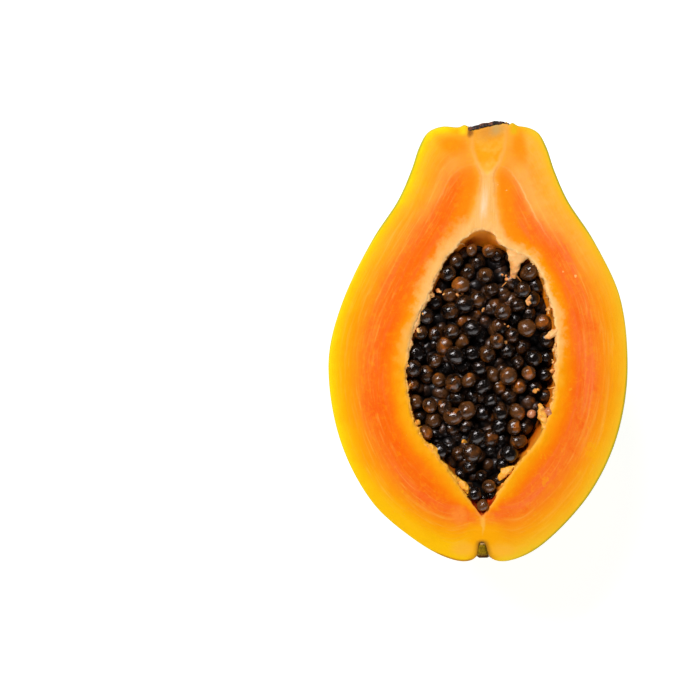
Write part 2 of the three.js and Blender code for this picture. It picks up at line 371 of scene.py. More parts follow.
def fleshMaterial():
    look = fleshLook
    material, root, spot, (x, y, z) = newMaterial("ripeFlesh")
    height = y - blossomY
    names = ("skinDepth", "skinSoft", "hollowDepth", "innerDepth", "coreEdge", "wedgeEdge", "along")
    skin, soft, toHollow, inner, toCore, toWedge, along = (layer(root, name) for name in names)
    drift = grain(spot, 0.07, 3.0, 0.55) - 0.5
    ripple = grain(spot, 0.32, 4.0, 0.65) - 0.5
    share = soft / (soft + inner + 0.01) + drift * 0.14 + ripple * 0.06
    rightness = step(x, -12.0, 16.0)
    colour = mix(rightness, shade(share, look["leftBands"]), shade(share, look["rightBands"]))

    flow = vector(root, along * 0.05, soft * 0.9, x * 0.02)
    red = step(share, 0.32, 0.5) * (1 - step(share, 0.66, 0.84)) * (1 - step(height, 110.0, 128.0) * 0.6)
    blush = step(grain(spot, 0.1, 4.0, 0.62, 0.6), 0.48, 0.7)
    colour = mix(red * blush * 0.7, colour, look["blush"])
    coral = step(grain(flow, 0.45, 4.0, 0.6), 0.46, 0.66) * (0.35 + rightness * 0.45)
    colour = mix(red * coral, colour, look["coral"])
    outer = step(skin, 1.5, 5.0) * (1 - step(share, 0.5, 0.8))
    fineStreaks = step(grain(flow, 1.5, 3.0, 0.6, 0.6), 0.5, 0.74)
    wideStreaks = step(grain(flow, 0.6, 2.0, 0.5, 0.5), 0.54, 0.72)
    colour = mix((fineStreaks * 0.26 + wideStreaks * 0.16) * outer, colour, look["streak"])

    paleSide = step(height, 88.0, 118.0) * (0.3 + rightness * 0.6) * step(skin, 1.0, 3.5)
    colour = mix(paleSide * (1 - step(share, 0.3, 0.5)) * (0.5 + ripple * 1.2), colour, (253, 182, 84))
    neck = step(height, 108.0, 128.0)
    archLine = soft + drift * 3.0 + ripple * 2.5
    archWidth = 2.8 + rightness * 1.4
    arch = (1 - step(abs(archLine - 11.0) / archWidth, 0.1, 1.0)) * neck
    nearStem = (1 - step(abs(x - 3.5), 8.0, 16.0)) * step(height, 132.0, 138.0)
    colour = mix(arch * (0.26 + rightness * 0.45 + nearStem * 0.35), colour, look["arch"])
    thread = (1 - step(abs(soft + ripple * 1.6 - 12.9), 0.05, 0.5)) * neck
    colour = mix(thread * (0.1 + rightness * 0.3), colour, (255, 206, 140))
    patches = blob(root, x, height + x * 0.3, (-9.0, 143.0), (8.0, 4.6))
    patches = patches + blob(root, x, height + x * 0.7, (14.4, 154.6), (4.0, 9.5))
    colour = mix(patches * 0.85, colour, look["topPatch"])

    topFade = step(height + ripple * 8.0, 130.0, 143.0) * (1 - step(abs(x - 3.5), 13.0, 21.0))
    colour = mix(topFade * step(share, 0.3, 0.5) * 0.75, colour, (254, 160, 56))

    lowEdge = (1 - step(skin + drift * 6.0, 1.0, 8.0)) * (1 - rightness)
    lowEdge = lowEdge * (1 - step(height + x * 0.2, 8.0, 34.0))
    colour = mix(lowEdge * 0.8, colour, (253, 182, 6))
    underHollow = blob(root, x, height + ripple * 3.0, (2.4, 8.6), (9.5, 8.5))
    colour = mix(underHollow * 0.85, colour, (253, 166, 0))
    lobes = blob(root, x, height + ripple * 2.0, (-5.2, 4.4), (6.0, 3.6))
    lobes = lobes + blob(root, x, height + ripple * 2.0, (8.6, 3.9), (6.4, 3.4))
    colour = mix(lobes * 0.8, colour, (253, 178, 52))
    besideTip = blob(root, x, height + ripple * 4.0, (-6.6, 16.2), (4.6, 4.6))
    colour = mix(besideTip * 0.65, colour, (254, 146, 56))

    coreGlow = (1 - step(toCore + ripple * 4.0 + drift * 5.0, 3.6, 9.0)) * step(height, 105.0, 117.0)
    coreGlow = coreGlow * (1 - step(height, 131.0, 139.0) * 0.5)
    colour = mix(coreGlow * 0.8, colour, look["besideCore"])
    coreGlow = (1 - step(toCore + ripple * 2.0, 0.2, 3.0)) * step(height, 112.0, 124.0)
    colour = mix(coreGlow * 0.5, colour, look["coreSide"])
    body = step(height, 105.0, 111.0)
    inCore = (1 - step(toCore + ripple * 2.4 + drift * 1.5, -1.3, 1.1)) * body
    fibres = grain(vector(root, x * 2.6, y * 0.1, z), 0.8, 3.0, 0.65, 0.3)
    pale = mix(step(fibres, 0.35, 0.68), look["strands"], look["upperLining"])
    middle = x - 2.0 - (height - 122.0) * 0.06 + drift * 1.0
    white = (1 - step(abs(middle), 0.4, 1.9)) * band(height, 123.5, 11.5)
    pale = mix(white * (0.35 + step(fibres, 0.35, 0.6) * 0.6), pale, look["whiteStreak"])
    colour = mix(inCore * (0.92 - step(height, 136.0, 144.0) * 0.62), colour, pale)
    inWedge = 1 - step(toWedge + ripple * 1.6 + drift * 1.2, -1.2, 0.9)
    glow = grain(spot, 0.22, 3.0)
    lowWedge = 1 - step(height, 135.0, 141.0)
    gold = mix(step(glow, 0.42, 0.7) * 0.45 + lowWedge * 0.4, look["wedge"], look["streak"])
    colour = mix(inWedge * 0.95, colour, gold)
    wedgeLine = 1 - step(abs(toWedge + ripple * 1.2 + drift * 1.2 - 0.4), 0.05, 0.9)
    wedgeLine = wedgeLine * step(height, 136.0, 139.0) * (1 - step(height, 145.0, 150.0))
    colour = mix(wedgeLine * 0.3, colour, look["arch"])
    coreLine = 1 - step(abs(toCore + ripple * 1.2 + 0.2), 0.05, 0.6)
    coreLine = coreLine * step(height, 126.0, 131.0) * (1 - step(height, 137.0, 140.0))
    colour = mix(coreLine * 0.3, colour, look["darkLine"])
    topEdge = 152.2 + (x - 3.7) * 0.22 - height
    tissue = (1 - step(topEdge + ripple * 3.0, 1.8, 7.0)) * band(x, 3.9, 8.8)
    greying = step(x + ripple * 3.0, 3.0, 7.0) * (1 - step(topEdge, 2.0, 5.6))
    greyed = mix(greying, look["underCrust"], look["underCrustGrey"])
    colour = mix(tissue * 0.95, colour, greyed)
    bruise = blob(root, x, height - x * 0.3, (-2.7, 151.0), (1.7, 2.6))
    colour = mix(bruise * 0.85, colour, (104, 50, 26))
    nub = band(abs(x - 3.7), 8.9, 2.4) * step(height, 148.4, 150.6)
    nubColour = mix(rightness, (253, 216, 18), (226, 176, 14))
    colour = mix(nub * 0.9, colour, nubColour)

    rightLow = step(x, 4.0, 20.0) * (1 - step(height, 60.0, 78.0))
    rightTop = step(x, 3.0, 8.0) * step(height, 84.0, 102.0)
    leftTip = (1 - rightness) * (1 - step(height, 20.0, 36.0))
    thick = 3.0 + drift * 8.0 + ripple * 7.0 - rightLow * 1.4 - leftTip * 1.6
    thick = thick + step(height, 88.0, 106.0) * 2.4 - rightTop * 3.0
    lining = 1 - step(toHollow / thick, 0.2, 1.5)
    upper = step(height + drift * 26.0 + rightness * 12.0, 60.0, 92.0) * (1 - rightLow * 0.6)
    lined = mix(upper, look["lowerLining"], look["upperLining"])
    colour = mix(lining * (0.4 + upper * 0.55), colour, lined)
    rimGlow = (1 - step(toHollow + ripple * 1.5, 0.1, 1.1)) * (0.12 + upper * 0.6)
    colour = mix(rimGlow, colour, (253, 208, 146))
    # painted shade: the hollow's wall colour darkens with depth below the rim
    depth = toHollow * -1.0 / 14.0
    depth = depth + ripple * 0.16
    wall = mix(upper, shade(depth, look["lowerWallAndDepthShade"]), shade(depth, look["upperWallAndDepthShade"]))
    # near the hollow's point the wall turns dark red: partly the flesh's red, partly painted shade
    wall = mix(1 - step(height, 20.0, 30.0), wall, (168, 28, 2))
    colour = mix(step(toHollow * -1.0, 0.05, 0.5), colour, wall)

    seam = x - 1.9 + drift * 3.0 + ripple * 1.5
    seamWidth = 0.3 + step(height, 8.0, 16.0) * 1.3
    seam = (1 - step(abs(seam) / seamWidth, 0.1, 1.0)) * (1 - step(height, 14.0, 17.0))
    colour = mix(seam * step(height, 8.0, 12.5) * 0.5, colour, look["streak"])
    nearNotch = band(x, 1.8, 6.4) * (1 - step(height, 6.6, 8.4))
    # painted shade: darker tan-brown along the lobes' rounded inner edges beside the blossom notch
    notchShade = (1 - step(skin, 0.0, 2.2)) * nearNotch
    colour = mix(notchShade * 0.95, colour, (136, 94, 28))
    seat = (1 - step(topEdge, 2.0, 3.0)) * band(x, 3.9, 9.0)
    skinLine = mix(step(x, -40.0, 30.0) * 0.4 + 0.5, rindColour(root, spot, x, height), (214, 196, 40))
    greenEdge = step(height, 106.0, 120.0) * (1 - step(height, 146.0, 151.0)) * 0.75
    greenEdge = greenEdge + step(x, 4.0, 24.0) * (1 - step(height, 60.0, 80.0)) * 0.7
    skinLine = mix(greenEdge, skinLine, (104, 140, 24))
    # painted shade: a browner skin line along the left lobe's bottom edge, where the rounded lower edge
    # turns away
    under = (1 - step(height, 2.0, 5.0)) * (1 - step(x, -2.0, 6.0))
    skinLine = mix(under, skinLine, (150, 94, 18))
    edge = (1 - step(skin + ripple * 0.3, 0.1, greenEdge * 0.7 + under * 0.5 + 0.5)) * (1 - seat)
    edge = edge * (1 - step(nearNotch, 0.1, 0.5))
    colour = mix(edge * step(inner, 0.5, 2.0) * 0.75, colour, skinLine)

    fine = grain(spot, 1.7, 3.0, 0.7)
    colour = mix(step(fine, 0.2, 0.85) * 0.22, colour, (255, 220, 70), "SOFT_LIGHT")
    cellular = grain(spot, 0.62, 3.0, 0.6, 0.8)
    colour = mix(step(cellular, 0.5, 0.72) * 0.2, colour, (255, 176, 12))
    colour = mix(step(1 - cellular, 0.5, 0.72) * red * 0.25, colour, look["blush"])
    dewGlint = 1 - step(cells(spot, 0.95), 0.05, 0.13)
    damp = step(grain(spot, 0.06, 2.0), 0.5, 0.66)
    # dew drops: the pale colour specks are painted highlights; the lower roughness and the bump are real
    colour = mix(dewGlint * damp * 0.3, colour, (255, 210, 140))
    rough = look["roughness"] + (fine - 0.5) * 0.25 - dewGlint * damp * 0.2
    relief = fine * 0.5 + grain(flow, 1.1, 2.0) * 0.5 + dewGlint * damp * 0.4
    relief = relief + inCore * (1 - inWedge) * fibres * 0.9
    finishMaterial(root, colour, rough, relief, 0.18, {"Specular IOR Level": 0.08})
    return material


# The body: rind, cut face and hollow as one closed skin

fruit = {
    "outline": [  # [radius, height], from the blossom dimple to the stem face
        [0, 6.8], [0.95, 6.2], [1.5, 4.2], [2, 2.4], [3.4, 0.8], [7, 0], [14.2, 1.9], [23.3, 7.5],
        [37.6, 21.5], [48.3, 42.5], [52.4, 68.5], [48.6, 91.5], [38.7, 112.5], [29.6, 126.5], [25, 137],
        [22.2, 145.2], [19.2, 150.2], [14.5, 152.2], [9.5, 152], [5, 151.6], [0, 151.4],
    ],
    "neckLean": 1.7, "neckSpan": (68.5, 100),
    "blossomLean": 1.8, "blossomSpan": (0, 20),
    "ridges": 5, "ridgeHeight": 0.012,
    "stations": 320, "turnSteps": 88, "faceRings": 44, "wallSteps": 40,
    "edgeRound": 0.5,  # soft edge where the knife left the rind
    "furrow": 1.5, "furrowWidth": 3.4,  # groove from the dimple into the back
}
hollow = {
    "left": [  # [x, height] of the rim, from the point near the blossom end to the rounded top
        [1.4, 15.6], [-1.8, 19.8], [-6, 25.7], [-10.9, 32.7], [-16.1, 39], [-20.3, 44.3], [-23.5, 53],
        [-25.2, 62], [-24.2, 74], [-21.4, 84.5], [-16.5, 95], [-11.9, 104.8], [-8.2, 109.5], [-4.4, 113.4],
        [-1, 115.5], [2, 116],
    ],
    "right": [
        [1.4, 15.6], [4.5, 19.8], [8.4, 25.7], [13, 32.7], [18.5, 39], [22, 44.3], [25.5, 53], [27.3, 62],
        [27.6, 74], [26.9, 84.5], [24.3, 95], [22.2, 100.3], [19.2, 104.8], [15.2, 107.6], [9.8, 110],
        [7, 112.4], [4.8, 115.2], [2, 116],
    ],
    "lobe": 0.05,  # the carpels in the wall
    "rimRound": 1.5, "rimDrop": 0.45,
    "ragged": 0.55, "raggedSize": 2.4,
}
core = {  # pale strands from the hollow's top up to the wedge under the stem, by height
    "middle": [[114, 2.2], [118, 2.7], [123, 2.6], [129.5, 3.2], [135, 3.3], [142, 3.5], [148, 3.9]],
    "half": [
        [112, 8.5], [115, 6.8], [118, 5.5], [123, 4.2], [129.5, 2.8], [134.5, 2.2], [136.5, 2.8],
        [139, 4.1], [142.3, 5.6], [147.5, 6.6], [151, 7],
    ],
    "wedge": [[133, -3], [135.5, 0.2], [137.5, 2.3], [140.7, 4.1], [143.7, 5.1], [146.6, 5.5], [151, 6]],
}
crust = {
    "radius": 7.3, "shift": 3.7, "tilt": math.radians(9.5), "level": 151.9,
    "top": [  # [across, level] of the crust's two faces
        [-7.6, 0.8], [-6.2, 1.4], [-4.8, 1.2], [-2.6, 1.55], [-0.5, 1.75], [3, 1.75], [5.2, 1.3], [7.4, 0.3],
    ],
    "under": [
        [-7.6, 0.2], [-6.4, 0], [-3.8, 0], [-1.6, 0.45], [0, 0.4], [2.2, 0.6], [5, 0.8], [7.4, -0.1],
    ],
    "seat": 0.35, "seatSlope": 0.06,
    "collarReach": 8.3, "collarLow": 1.1, "collarHigh": 1.45, "collarWidth": 1.5,
    "rings": 26, "turns": 96,
}
hollowSides = [smoothCurve(hollow[side], 10) for side in ("left", "right")]


def lean(height):  # sideways lean of the fruit's middle line
    neck = smoothStep(height, *fruit["neckSpan"])
    blossom = 1 - smoothStep(height, *fruit["blossomSpan"])
    return fruit["neckLean"] * neck + fruit["blossomLean"] * blossom


def stations():  # even along the outline, closer in the dimple and on the stem face
    curve = smoothCurve(fruit["outline"], 12)
    radius, height = ((curve[1:] + curve[:-1]) / 2).T
    density = 1 + 1.5 * ((height < 7) & (radius < 6)) + 2.2 * ((height > 148) & (radius < 16))
    run = np.concatenate([[0], np.cumsum(np.diff(lengths(curve)) * density)])
    wanted = np.linspace(0, run[-1], fruit["stations"] + 1)
    return np.stack([np.interp(wanted, run, column) for column in curve.T], axis=1)


def distanceTo(points, line):  # from each point to a polyline, in the plane of the cut face
    starts, spans = line[:-1], np.diff(line, axis=0)
    nearest = np.full(len(points), 1e9)
    squares = np.maximum((spans ** 2).sum(1), 1e-12)
    for start, span, square in zip(starts, spans, squares):
        share = np.clip(((points - start) @ span) / square, 0, 1)
        nearest = np.minimum(nearest, np.linalg.norm(points - start - share[:, None] * span, axis=1))
    return nearest


def softDistanceTo(points, line, blur):  # the same, with corners rounded off
    run = lengths(line)
    marks = atShares(line, np.linspace(0, 1, int(run[-1])))
    spacing = run[-1] / (len(marks) - 1)
    away = np.arange(0, 70, 0.5)
    beside = np.arange(-120, 120, spacing)
    straight = np.exp(-np.hypot(away[:, None], beside) / blur).sum(1)
    weights = np.zeros(len(points))
    for mark in marks:
        weights += np.exp(-np.linalg.norm(points - mark, axis=1) / blur)
    return np.interp(-np.log(weights), -np.log(straight), away)


def seatStem(points):  # sinks the stem's seat into the stem face and raises a collar round it
    x, height, z = points.T
    middle = x - lean(height)
    stemFace = np.array(fruit["outline"][-4:])[::-1]
    surface = np.interp(np.hypot(middle, z), stemFace[:, 0], stemFace[:, 1])
    away = np.hypot(x - crust["shift"], z)
    slope = math.tan(crust["tilt"]) + crust["seatSlope"]
    floor = crust["level"] + crust["seat"] + slope * (x - crust["shift"])
    seat = 1 - smoothStep(away, crust["radius"] - 1.0, crust["radius"] - 0.1)
    rise = crust["collarLow"] + (crust["collarHigh"] - crust["collarLow"]) * smoothStep(x, -4, 11)
    collar = rise * np.exp(-(((away - crust["collarReach"]) / crust["collarWidth"]) ** 2))
    near = smoothStep(height, surface - 5, surface)
    points[:, 1] += near * (seat * (floor - surface) + collar)


def stray(points):  # how the torn rim wanders
    return wobble(points, hollow["raggedSize"], 3) + 0.5 * wobble(points, hollow["raggedSize"] / 2.7, 5)


def calm(height):  # the rim wanders less near the hollow's point
    return 0.25 + 0.75 * smoothStep(height, 18, 34)


def bodyPiece(rind, flesh):
    profile = stations()
    radius, height = profile.T
    turn = np.linspace(-math.pi, 0, fruit["turnSteps"] + 1)
    swell = radius[:, None] * (1 + fruit["ridgeHeight"] * np.sin(fruit["ridges"] * turn))
    skinGrid = np.stack(np.broadcast_arrays(
        swell * np.cos(turn) + lean(height)[:, None],
        height[:, None],
        np.maximum(swell * np.sin(turn), -cutLevel),
    ), axis=-1)

    run = lengths(profile)
    rims = [atShares(side, run / run[-1]) for side in hollowSides]
    outer = [skinGrid[:, 0, :2], skinGrid[:, -1, :2]]
    across = smoothStep(np.linspace(0, 1, fruit["faceRings"] + 1), -0.15, 1.15)
    across = (across - across[0]) / (across[-1] - across[0])
    faceGrids = []
    for edge, rim in zip(outer, rims):
        flat = edge[:, None] + (rim - edge)[:, None] * across[:, None]
        faceGrids.append(np.concatenate([flat, np.zeros_like(flat[..., :1])], axis=-1))
    around = np.linspace(-math.pi, 0, fruit["wallSteps"] + 1)
    share = (1 + np.cos(around)) / 2
    half = np.linalg.norm(rims[1] - rims[0], axis=1) / 2
    bulge = half[:, None] * np.sin(around) * (1 + hollow["lobe"] * np.sin(fruit["ridges"] * around))
    wallFlat = rims[0][:, None] * (1 - share)[:, None] + rims[1][:, None] * share[:, None]
    wallGrid = np.concatenate([wallFlat, bulge[..., None]], axis=-1)

    points, faces, slots, aheads = [], [], [], []
    start = 0
    for grid, slot in ((skinGrid, 0), *((g, 1) for g in faceGrids), (wallGrid, 1)):
        made = gridFaces(*grid.shape[:2], start)
        points.append(grid.reshape(-1, 3))
        faces.append(made)
        slots += [slot] * len(made)
        aheads.append(np.repeat(run, grid.shape[1]))
        start += grid.shape[0] * grid.shape[1]
    spots, faces, where = weld(np.concatenate(points), np.concatenate(faces))
    slots = [slot for slot, face in zip(slots, faces) if face]
    faces = [face for face in faces if face]
    along = np.zeros(len(spots))
    along[where] = np.concatenate(aheads)

    onFace = np.abs(spots[:, 2]) < 1e-6
    rimLine = np.vstack([rims[0], rims[1][::-1]])
    outerLine = np.vstack([outer[0], outer[1][::-1]])
    wallStart = sum(len(p) for p in points[:3])
    onWall = np.zeros(len(spots), bool)
    onWall[where[wallStart:]] = True
    skinDepth = np.where(onWall, 30.0, 0.0)
    hollowDepth = np.where(onWall, spots[:, 2], 30.0)
    faceSpots = spots[onFace, :2]
    skinDepth[onFace] = distanceTo(faceSpots, outerLine)
    hollowDepth[onFace] = distanceTo(faceSpots, rimLine)
    skinSoft, innerDepth, coreEdge = skinDepth.copy(), np.maximum(hollowDepth, 0), np.full(len(spots), 30.0)
    skinSoft[onFace] = softDistanceTo(faceSpots, outerLine, 4.0)
    heights, middles = np.array(core["middle"]).T
    coreLine = np.stack([middles, heights], axis=1)[heights < 136]
    innerDepth[onFace] = np.minimum(hollowDepth[onFace], distanceTo(faceSpots, coreLine))
    innerDepth[onFace] += 16 * (1 - smoothStep(faceSpots[:, 1], 4, 24))
    besideCore = 1 - smoothStep(np.abs(faceSpots[:, 0] - 3), 3, 17)
    skinSoft[onFace] += 0.8 * besideCore * smoothStep(faceSpots[:, 1], 126, 139)
    dimple = np.hypot(faceSpots[:, 0] - lean(2), (faceSpots[:, 1] - 3) * 0.8)
    skinSoft[onFace] += 4.5 * (1 - smoothStep(dimple, 2, 8))
    coreHalf = np.interp(faceSpots[:, 1], *np.array(core["half"]).T)
    aside = np.abs(faceSpots[:, 0] - np.interp(faceSpots[:, 1], heights, middles))
    coreEdge[onFace] = aside - coreHalf
    wedgeEdge = np.full(len(spots), 30.0)
    wedgeEdge[onFace] = aside - np.interp(faceSpots[:, 1], *np.array(core["wedge"]).T)

    shape = spots.copy()
    rimNear = np.where(onFace | onWall, np.exp(-np.abs(hollowDepth) / 1.6), 0)
    shape += hollow["ragged"] * (rimNear * calm(spots[:, 1]))[:, None] * stray(spots)
    inRound = np.clip(1 - np.maximum(hollowDepth, 0) / hollow["rimRound"], 0, 1)
    shape[:, 2] -= np.where(onFace, hollow["rimDrop"] * (1 - np.sqrt(1 - inRound ** 2)), 0)
    atEdge = np.clip(1 - skinDepth / fruit["edgeRound"], 0, 1)
    shape[:, 2] -= np.where(onFace, 0.2 * atEdge ** 2, 0)
    rolling = wobble(spots, 9.0, 8)[:, 2] * 0.16 + wobble(spots, 2.2, 9)[:, 2] * 0.05
    shape[:, 2] += np.where(onFace, rolling * np.clip(skinDepth / 3, 0, 1), 0)
    beside = np.exp(-((spots[:, 0] - lean(0)) / fruit["furrowWidth"]) ** 2)
    behind = smoothStep(-spots[:, 2], 0.5, 4) * (1 - smoothStep(spots[:, 1], 1.5, 9))
    shape[:, 1] += fruit["furrow"] * beside * behind
    seatStem(shape)
    shape[:, 2] = np.minimum(shape[:, 2], 0.3)

    piece = newObject("papayaBody", shape, faces, [rind, flesh], slots)
    layers = {
        "skinDepth": skinDepth, "skinSoft": skinSoft, "hollowDepth": hollowDepth,
        "innerDepth": innerDepth, "coreEdge": coreEdge, "wedgeEdge": wedgeEdge, "along": along,
    }
    for name, values in layers.items():
        store(piece, name, values)
    piece.data.set_sharp_from_angle(angle=math.radians(50))
    attach(piece, "flesh", "papaya_half")
    print("body:", len(faces), "faces")


# Seeds: laid out as in the solids, moved out to the rim, with more at both ends and a second layer below

heap = {
    "outline": [
        [0, 15.6], [3.4, 20], [7.4, 25.7], [12.4, 32.7], [20.8, 44], [25, 54], [26.4, 66], [25.6, 77],
        [22.6, 89], [17, 99], [10.8, 107.5], [6, 112.6], [0, 114.6],
    ],
    "shift": 1.3,
    "count": 128, "stream": 20423, "candidates": 14, "rounds": 24, "spacing": 5.6,
    "drop": 3.4, "span": (62, 128, 22), "middle": 66, "narrow": 12, "smallest": 0.7,
    "jitter": 0.7, "sizeSpread": 0.16, "wallRoom": 2.2,
    "lowerCount": 120, "lowerStream": 871, "lowerDrop": 4.4,
    "sink": 0.9,  # the finished heap below the dome
    "tumble": (-1.5, 1.0),  # how far a seed may sit below or above the dome
    "bare": 108.5,  # no seeds of the upper layer above this height
    "touch": 5.9, "settleRounds": 14, "settleReach": (-3.2, 1.3),  # how the heap settles in depth
    "extra": [  # [x, height, size]
        [-1, 23.6, 0.8], [2.2, 21.8, 0.62], [3.9, 26.2, 0.85], [4.9, 22.8, 0.6], [17.5, 101, 1.05],
        [20.6, 97, 1], [-5, 108.4, 0.9], [-2, 109.3, 0.7], [4.2, 108.8, 0.85], [7, 107.2, 1],
    ],
    "unripe": [[25, 52.2, -2, 0.62], [19, 51.6, -2.8, 0.5]],  # [x, height, depth, size] of pale ones
    "setBack": [36, 47, 3.6],  # bare wall on the right between two heights
    "shadeBedSink": 5.0, "shadeBedInset": 0.6,
}
seedForm = {
    "Length": 3.7, "Width": 3.25, "Thickness": 3.1, "Wrinkle": 0.75, "Random": 11, "lumps": 1.5,
    "shapes": [
        (1, 1, 1), (1.05, 0.97, 0.95), (0.93, 1.04, 1.02), (1.07, 0.95, 0.96), (0.98, 0.94, 1.06),
        (0.89, 0.94, 0.96),
    ],
}
heapCurve = smoothCurve(heap["outline"], 5)


def drawFrom(start):  # a repeatable stream of numbers from 0 to 1
    state = start
    while True:
        state = (state * 1664525 + 1013904223) % 2 ** 32
        yield state / 2 ** 32


def hollowRadius(height):
    return np.interp(height, heapCurve[:, 1], heapCurve[:, 0], left=0, right=0)


def narrowing(height):
    return np.minimum(1, hollowRadius(height) / heap["narrow"])


def heapLevel(x, height):  # the heap's dome, which rises towards the hollow's point
    a, b, c = heap["span"]
    dome = np.sqrt(np.maximum(1 - (x / a) ** 2 - ((height - heap["middle"]) / b) ** 2, 0))
    nearPoint = np.where(height < heap["middle"], narrowing(height), 1)
    return (c * (dome - 1) - heap["drop"]) * nearPoint


def reach(height):  # how far from the middle a seed may stand
    size = max(heap["smallest"], narrowing(height))
    wall = hollowRadius(height) - heap["wallRoom"] * size
    room = wall ** 2 - heapLevel(0, height) ** 2
    return math.sqrt(room) if wall > 0 and room > 0 else 0


def seedPlaces(count, start):
    draw = drawFrom(start)
    bottom, top = heap["outline"][0][1], heap["outline"][-1][1]
    widest = max(radius for radius, _ in heap["outline"])
    places = np.zeros((0, 2))
    while len(places) < count:
        best, lonely, tries = None, -1, 0
        while tries < heap["candidates"]:
            height = bottom + (top - bottom) * next(draw)
            x = widest * (2 * next(draw) - 1)
            if abs(x) >= reach(height):
                continue
            tries += 1
            apart = np.min(np.hypot(*(places - (x, height)).T)) if len(places) else math.inf
            if apart > lonely:
                best, lonely = (x, height), apart
        places = np.vstack([places, best])
    for _ in range(heap["rounds"]):
        for i in range(count):
            for j in range(i + 1, count):
                pushApart(places, i, j)
    rows = []
    for x, height in places:
        level = heapLevel(x, height) + heap["jitter"] * (2 * next(draw) - 1)
        size = max(heap["smallest"], narrowing(height)) * (1 + heap["sizeSpread"] * (2 * next(draw) - 1))
        turn = [next(draw) * 2 * math.pi for _ in range(3)]
        rows.append((x, height, level, size, *turn))
    return np.array(rows)


def pushApart(places, i, j):
    dx, dy = places[j] - places[i]
    apart = math.hypot(dx, dy)
    if apart >= heap["spacing"]:
        return
    push = (heap["spacing"] - apart) / 2 / apart
    for k, sign in ((i, -1), (j, 1)):
        x, height = places[k] + (sign * dx * push, sign * dy * push)
        if abs(x) < reach(height):
            places[k] = x, height


def toRim(x, height):  # stretches the heap sideways to the rim on both sides
    left, right = (np.interp(height, side[:, 1], side[:, 0]) for side in hollowSides)
    low, high, inset = heap["setBack"]
    right = right - inset * smoothStep(height, low - 5, low) * (1 - smoothStep(height, high, high + 5))
    share = (x / np.maximum(hollowRadius(height), 0.1) + 1) / 2
    return left + (right - left) * share


def settle(rows):  # lifts and sinks seeds that would run into each other
    start = rows[:, 2].copy()
    low, high = heap["settleReach"]
    for _ in range(heap["settleRounds"]):
        for i in range(len(rows)):
            near = np.hypot(rows[:, 0] - rows[i, 0], rows[:, 1] - rows[i, 1])
            touch = heap["touch"] * (rows[:, 3] + rows[i, 3]) / 2
            for j in np.flatnonzero((near < touch) & (np.arange(len(rows)) > i)):
                wanted = math.sqrt(touch[j] ** 2 - near[j] ** 2)
                gap = rows[j, 2] - rows[i, 2]
                push = (wanted - abs(gap)) * 0.25 * (1 if gap >= 0 else -1)
                if wanted > abs(gap):
                    rows[i, 2] -= push
                    rows[j, 2] += push
        rows[:, 2] = np.clip(rows[:, 2], start + low, start + high)


def scatterTree(name, material, form):  # lumpy balls on points that carry size and turn
    tree = bpy.data.node_groups.new(name, "GeometryNodeTree")
    tree.interface.new_socket("Geometry", in_out="INPUT", socket_type="NodeSocketGeometry")
    for label in ("Length", "Width", "Thickness", "Wrinkle"):
        tree.interface.new_socket(label, in_out="INPUT", socket_type="NodeSocketFloat")
    tree.interface.new_socket("Random", in_out="INPUT", socket_type="NodeSocketInt")
    tree.interface.new_socket("Geometry", in_out="OUTPUT", socket_type="NodeSocketGeometry")
    given = tree.nodes.new("NodeGroupInput").outputs

    def add(kind, settings, inputs, output=0):
        return addNode(tree, kind, settings, inputs).outputs[output]

    sides = add("ShaderNodeCombineXYZ", {}, {0: given["Length"], 1: given["Width"], 2: given["Thickness"]})
    joined = tree.nodes.new("GeometryNodeJoinGeometry")
    for variant, shape in enumerate(form["shapes"]):
        ball = add("GeometryNodeMeshUVSphere", {}, {"Segments": 9, "Rings": 6, "Radius": 1.0}, "Mesh")
        spot = add("GeometryNodeInputPosition", {}, {})
        away = add("ShaderNodeVectorMath", {"operation": "ADD"}, {0: spot, 1: (variant * 7.3, 2.1, 0.4)})
        lumps = add("ShaderNodeTexNoise", {}, {"Vector": away, "Scale": form["lumps"], "Detail": 2.0})
        swing = add("ShaderNodeMath", {"operation": "SUBTRACT"}, {0: lumps, 1: 0.5})
        rise = add("ShaderNodeMath", {"operation": "MULTIPLY"}, {0: swing, 1: given["Wrinkle"]})
        push = add("ShaderNodeVectorMath", {"operation": "SCALE"}, {0: spot, "Scale": rise})
        lumpy = add("GeometryNodeSetPosition", {}, {"Geometry": ball, "Offset": push})
        stretch = add("ShaderNodeVectorMath", {"operation": "MULTIPLY"}, {0: sides, 1: shape})
        sized = add("GeometryNodeTransform", {}, {"Geometry": lumpy, "Scale": stretch})
        tree.links.new(add("GeometryNodeGeometryToInstance", {}, {0: sized}), joined.inputs[0])
    last = len(form["shapes"]) - 1
    pick = add("FunctionNodeRandomValue", {"data_type": "INT"}, {4: 0, 5: last, "Seed": given["Random"]}, 2)
    turn = add("GeometryNodeInputNamedAttribute", {"data_type": "FLOAT_VECTOR"}, {"Name": "turn"})
    rotation = add("FunctionNodeEulerToRotation", {}, {0: turn})
    size = add("GeometryNodeInputNamedAttribute", {"data_type": "FLOAT"}, {"Name": "size"})
    placed = add("GeometryNodeInstanceOnPoints", {}, {
        "Points": given["Geometry"], "Instance": joined.outputs[0], "Pick Instance": True,
        "Instance Index": pick, "Rotation": rotation, "Scale": size,
    })
    real = add("GeometryNodeRealizeInstances", {}, {0: placed})
    fine = add("GeometryNodeSubdivisionSurface", {}, {"Mesh": real, "Level": 1})
    smooth = add("GeometryNodeSetShadeSmooth", {}, {0: fine})
    painted = add("GeometryNodeSetMaterial", {}, {"Geometry": smooth, "Material": material})
    tree.links.new(painted, tree.nodes.new("NodeGroupOutput").inputs[0])
    return tree


